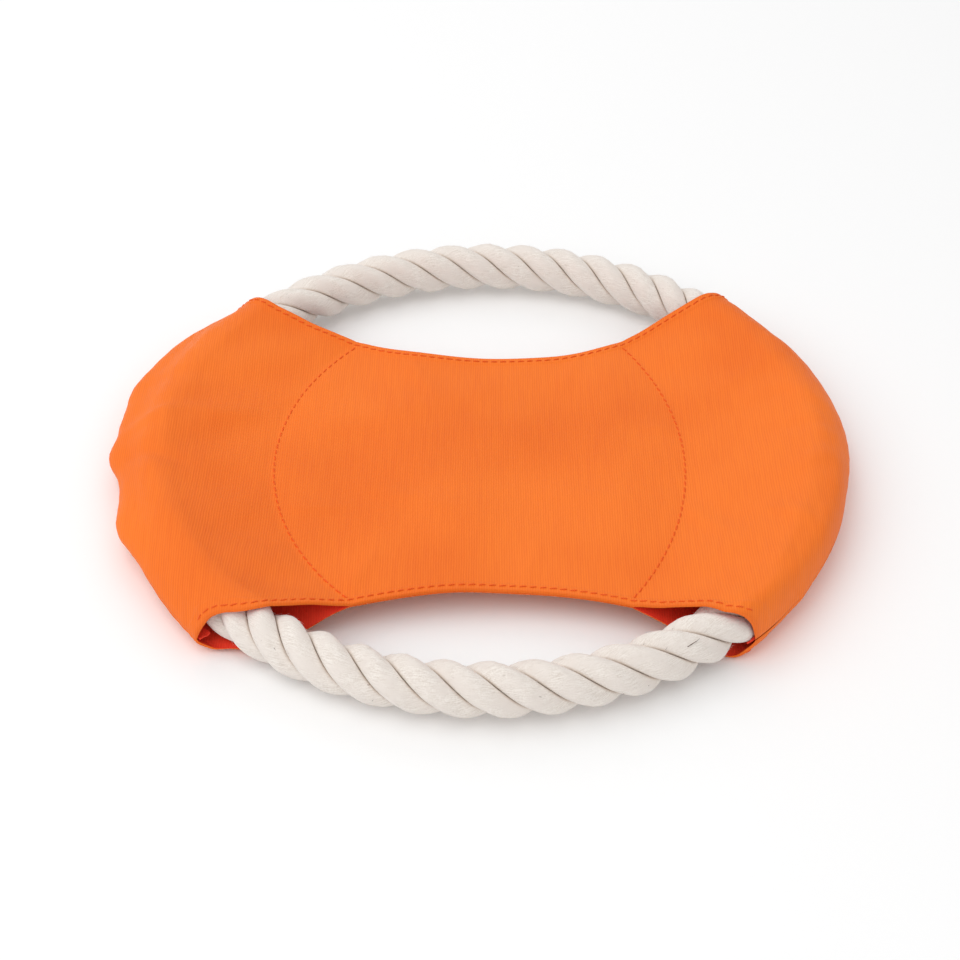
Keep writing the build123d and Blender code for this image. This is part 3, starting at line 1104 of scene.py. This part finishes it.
def hem_line(hem_y, hem_radius):
    """Plan line of a hem's running stitch, an inset in from the hem and clear of the side edges."""
    clear = 1.2 * MM
    curve = hem_curve(hem_y, hem_radius, np.linspace(0.004, 0.996, 900))
    ahead = unit(np.gradient(curve, axis=0))
    inward = np.stack([ahead[:, 1], -ahead[:, 0]], -1) * np.sign(hem_y)
    line = curve + inward * HEM_INSET
    edge = side_edge(np.degrees(np.arctan2(line[:, 1], line[:, 0])))
    return line[np.hypot(line[:, 0], line[:, 1]) < edge - clear]


def seam_line(side):
    """Plan line of a bowed channel seam, from just short of one hem's stitching to the other's."""
    short = 0.4 * MM
    reach, radius = SEAM_LEFT if side < 0 else SEAM_RIGHT
    sweep = np.radians(np.linspace(-60, 60, 1500))
    x = side * (reach - radius + radius * np.cos(sweep))
    y = SEAM_Y + radius * np.sin(sweep)
    hem, _ = hem_distance(x, y)
    return np.stack([x, y], -1)[hem > HEM_INSET + short]


def on_panel(plan_line, side):
    """Points of a plan line on a panel's outer face, and the normals there."""
    outer, _, normal = outer_face(plan_line[:, 0], plan_line[:, 1], side)
    return outer, normal


def side_seam_line(side):
    """Line of the seam that joins the panels, just inside the side edge, and its upward normals."""
    inset, clear = 0.9 * MM, 0.45 * MM
    front, back = side_corners(side)
    angle = np.linspace(front, back, 1200)[6:-6]
    radius = np.maximum(side_edge(angle) - inset, RING_RADIUS + ROPE_RADIUS + clear)
    line = np.stack([*round_ring(radius, angle), ROPE_HEIGHT + seam_rise(angle)], -1)
    return line, np.broadcast_to(UP, line.shape)


HEMS = {"front": (HEM_FRONT_Y, HEM_FRONT_RADIUS), "back": (HEM_BACK_Y, HEM_BACK_RADIUS)}
for where, side in (("top", 1), ("bottom", -1)):
    for place, (hem_y, hem_radius) in HEMS.items():
        name = f"{where}_{place}_hem_stitch"
        make_stitches(f"{name}es", f"{name}ing", *on_panel(hem_line(hem_y, hem_radius), side))
for place, side in (("left", -1), ("right", 1)):
    name = f"{place}_channel_seam"
    make_stitches(f"{name}_needle_stitches", name, *on_panel(seam_line(side), 1))
    make_stitches(f"{name}_bobbin_stitches", name, *on_panel(seam_line(side), -1))
    make_stitches(f"{place}_side_stitches", f"{place}_side_seam", *side_seam_line(side))
